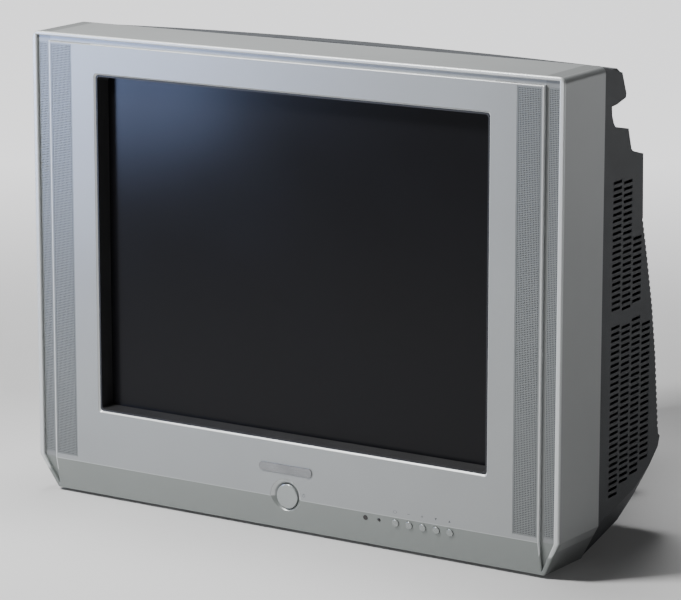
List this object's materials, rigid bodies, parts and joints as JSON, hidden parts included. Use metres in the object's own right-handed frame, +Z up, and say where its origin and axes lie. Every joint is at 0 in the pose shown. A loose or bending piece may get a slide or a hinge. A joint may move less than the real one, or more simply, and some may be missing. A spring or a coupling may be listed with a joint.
{
  "type": "television set",
  "caption": "Flat-screen cathode ray tube television in a silver front cabinet with perforated side grilles, round power button and charcoal vented back cover.",
  "frame": {"origin": "under the feet, centred across the width and at mid depth", "axes": "+X to the viewer's right, +Y from the screen to the back, +Z up"},
  "size_m": [0.7312, 0.5012, 0.5676],
  "materials": {
    "silver_paint": "fine metallic silver paint, satin",
    "grille_silver": "perforated, silver paint",
    "black_plastic": "fine matt",
    "bright_trim": "polished",
    "charcoal_plastic": "fine moulded grain",
    "zinc_steel": "zinc plated",
    "rubber": "matt",
    "button_silver": "satin silver",
    "spring_steel": "bright wire",
    "circuit_board": "phenolic board",
    "dark_window": "smoked, glossy",
    "screen_glass": "dark tinted, glossy",
    "funnel_glass": "graphite coated",
    "mask_steel": "blackened steel",
    "gun_metal": "bright",
    "white_plastic": "natural",
    "coil_tape": "black cloth tape",
    "copper_winding": "varnished copper wire",
    "ferrite": "sintered ferrite",
    "ring_plastic": "magnetic plastic",
    "red_silicone": "silicone rubber",
    "black_steel": "black",
    "paper_cone": "pressed paper",
    "aluminium": "extruded",
    "capacitor_sleeve": "shrink sleeve",
    "tin_plate": "tin plate"
  },
  "bodies": {
    "cabinet": {"front_cabinet": "silver_paint", "screen_surround": "black_plastic", "wide_grille_left": "grille_silver", "wide_grille_right": "grille_silver", "narrow_grille_left": "grille_silver", "narrow_grille_right": "grille_silver", "name_bar": "bright_trim", "back_cover": "charcoal_plastic", "cover_screws": "zinc_steel", "rubber_feet": "rubber", "power_button_spring": "spring_steel", "power_switch": "black_plastic", "tact_switches": "black_plastic", "control_board": "circuit_board", "remote_window": "dark_window", "standby_light": "dark_window", "crt_panel": "screen_glass", "crt_funnel": "funnel_glass", "tension_band": "zinc_steel", "crt_screws": "zinc_steel", "shadow_mask": "mask_steel", "mask_frame": "mask_steel", "magnetic_shield": "mask_steel", "electron_gun": "gun_metal", "tube_base": "black_plastic", "tube_socket": "white_plastic", "neck_board": "circuit_board", "degauss_coil": "coil_tape", "yoke_former": "white_plastic", "yoke_coils": "copper_winding", "yoke_core": "ferrite", "yoke_clamp": "zinc_steel", "ring_holder": "black_plastic", "anode_cap": "red_silicone", "anode_lead": "red_silicone", "speaker_left": "black_steel", "speaker_right": "black_steel", "cone_left": "paper_cone", "cone_right": "paper_cone", "main_board": "circuit_board", "flyback_transformer": "black_plastic", "heat_sinks": "aluminium", "mains_transformer": "ferrite", "capacitors": "capacitor_sleeve", "tuner": "tin_plate", "av_sockets": "black_plastic", "mains_inlet": "black_plastic"},
    "power_button": {"power_button": "button_silver"},
    "menu_button": {"menu_button": "button_silver"},
    "volume_down_button": {"volume_down_button": "button_silver"},
    "volume_up_button": {"volume_up_button": "button_silver"},
    "channel_down_button": {"channel_down_button": "button_silver"},
    "channel_up_button": {"channel_up_button": "button_silver"},
    "focus_knob": {"focus_knob": "white_plastic"},
    "screen_knob": {"screen_knob": "white_plastic"},
    "purity_rings": {"purity_rings": "ring_plastic"},
    "four_pole_rings": {"four_pole_rings": "ring_plastic"},
    "six_pole_rings": {"six_pole_rings": "ring_plastic"}
  },
  "joints": [
    {"name": "power_press", "type": "slide", "parent": "cabinet", "child": "power_button", "axis": [0, 1, 0], "range_m": [0, 0.0035], "stiffness_N_per_m": 300, "springref_m": -0.002, "deforming": ["power_button_spring"]},
    {"name": "menu_press", "type": "slide", "parent": "cabinet", "child": "menu_button", "axis": [0, 0.9799, 0.1995], "range_m": [0, 0.0008], "stiffness_N_per_m": 400, "springref_m": -0.001},
    {"name": "volume_down_press", "type": "slide", "parent": "cabinet", "child": "volume_down_button", "axis": [0, 0.9799, 0.1995], "range_m": [0, 0.0008], "stiffness_N_per_m": 400, "springref_m": -0.001},
    {"name": "volume_up_press", "type": "slide", "parent": "cabinet", "child": "volume_up_button", "axis": [0, 0.9799, 0.1995], "range_m": [0, 0.0008], "stiffness_N_per_m": 400, "springref_m": -0.001},
    {"name": "channel_down_press", "type": "slide", "parent": "cabinet", "child": "channel_down_button", "axis": [0, 0.9799, 0.1995], "range_m": [0, 0.0008], "stiffness_N_per_m": 400, "springref_m": -0.001},
    {"name": "channel_up_press", "type": "slide", "parent": "cabinet", "child": "channel_up_button", "axis": [0, 0.9799, 0.1995], "range_m": [0, 0.0008], "stiffness_N_per_m": 400, "springref_m": -0.001},
    {"name": "focus_turn", "type": "hinge", "parent": "cabinet", "child": "focus_knob", "pos_m": [0.101, 0.0726, 0.0476], "axis": [0, 1, 0], "range_deg": [-135, 135]},
    {"name": "screen_turn", "type": "hinge", "parent": "cabinet", "child": "screen_knob", "pos_m": [0.119, 0.0726, 0.0476], "axis": [0, 1, 0], "range_deg": [-135, 135]},
    {"name": "purity_turn", "type": "hinge", "parent": "cabinet", "child": "purity_rings", "pos_m": [0, 0.1246, 0.3145], "axis": [0, 1, 0], "range_deg": [-60, 60]},
    {"name": "four_pole_turn", "type": "hinge", "parent": "cabinet", "child": "four_pole_rings", "pos_m": [0, 0.1346, 0.3145], "axis": [0, 1, 0], "range_deg": [-60, 60]},
    {"name": "six_pole_turn", "type": "hinge", "parent": "cabinet", "child": "six_pole_rings", "pos_m": [0, 0.1446, 0.3145], "axis": [0, 1, 0], "range_deg": [-60, 60]}
  ]
}
